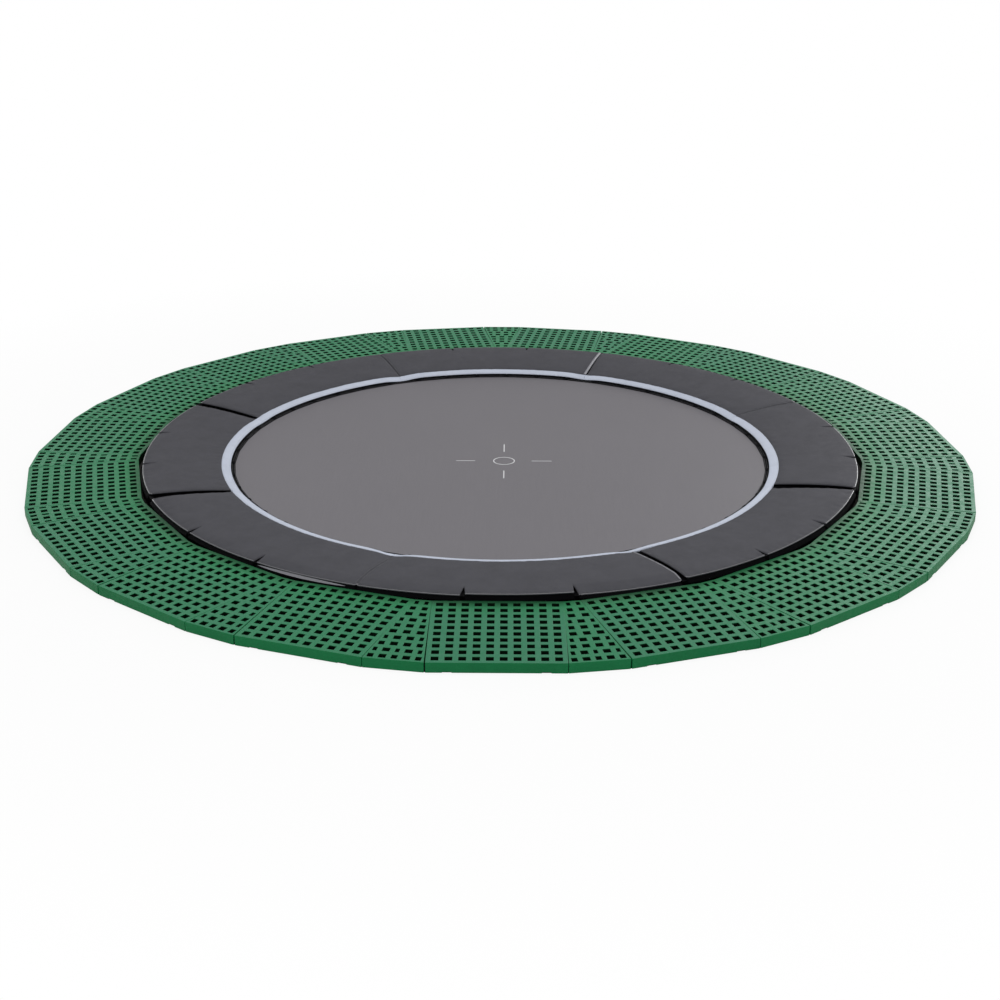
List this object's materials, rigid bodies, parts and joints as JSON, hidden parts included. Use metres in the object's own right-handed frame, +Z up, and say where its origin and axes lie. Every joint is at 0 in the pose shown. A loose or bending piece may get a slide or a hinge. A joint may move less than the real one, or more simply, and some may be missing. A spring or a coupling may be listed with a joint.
{
  "type": "backyard trampoline",
  "caption": "Ground-level round trampoline: sprung mat in a steel ring frame under padded edge segments, inside a ring of green lattice rubber safety tiles and wedges.",
  "frame": {"origin": "centre of the tile ring, on the ground that the tiles, the foot plates and the frame stand on", "axes": "+Z up, square to the mat; -Y towards the first square tile, the one nearest the picture's camera; +X to that camera's right"},
  "size_m": [4.0052, 3.9916, 0.054],
  "materials": {
    "tile_rubber": "matte moulded",
    "pad_cover": "coated weave, low sheen",
    "frame_steel": "galvanised",
    "spring_steel": "zinc plated",
    "mat_mesh": "dense woven mesh",
    "webbing": "woven strap",
    "fasteners": "zinc plated"
  },
  "bodies": {
    "frame": {"frame_bolts": "fasteners", "frame_feet": "frame_steel", "frame_rail_1": "frame_steel", "frame_rail_2": "frame_steel", "frame_rail_3": "frame_steel", "frame_rail_4": "frame_steel", "frame_rail_5": "frame_steel", "frame_rail_6": "frame_steel", "frame_rail_7": "frame_steel", "frame_rail_8": "frame_steel", "pad_1": "pad_cover", "pad_2": "pad_cover", "pad_3": "pad_cover", "pad_4": "pad_cover", "pad_5": "pad_cover", "pad_6": "pad_cover", "pad_7": "pad_cover", "pad_8": "pad_cover", "springs": "spring_steel", "tile_01": "tile_rubber", "tile_02": "tile_rubber", "tile_03": "tile_rubber", "tile_04": "tile_rubber", "tile_05": "tile_rubber", "tile_06": "tile_rubber", "tile_07": "tile_rubber", "tile_08": "tile_rubber", "tile_09": "tile_rubber", "tile_10": "tile_rubber", "tile_11": "tile_rubber", "tile_12": "tile_rubber", "tile_13": "tile_rubber", "tile_14": "tile_rubber", "tile_15": "tile_rubber", "tile_16": "tile_rubber", "tile_17": "tile_rubber", "tile_18": "tile_rubber", "tile_19": "tile_rubber", "wedge_tile_01": "tile_rubber", "wedge_tile_02": "tile_rubber", "wedge_tile_03": "tile_rubber", "wedge_tile_04": "tile_rubber", "wedge_tile_05": "tile_rubber", "wedge_tile_06": "tile_rubber", "wedge_tile_07": "tile_rubber", "wedge_tile_08": "tile_rubber", "wedge_tile_09": "tile_rubber", "wedge_tile_10": "tile_rubber", "wedge_tile_11": "tile_rubber", "wedge_tile_12": "tile_rubber", "wedge_tile_13": "tile_rubber", "wedge_tile_14": "tile_rubber", "wedge_tile_15": "tile_rubber", "wedge_tile_16": "tile_rubber", "wedge_tile_17": "tile_rubber", "wedge_tile_18": "tile_rubber", "wedge_tile_19": "tile_rubber"},
    "mat": {"jumping_mat": "mat_mesh", "mat_webbing": "webbing"}
  },
  "joints": [
    {"name": "mat_travel", "type": "slide", "parent": "frame", "child": "mat", "axis": [0, 0, -1], "range_m": [0, 0.25], "stiffness_N_per_m": 3000, "springref_m": -0.05, "deforming": ["springs"]}
  ]
}
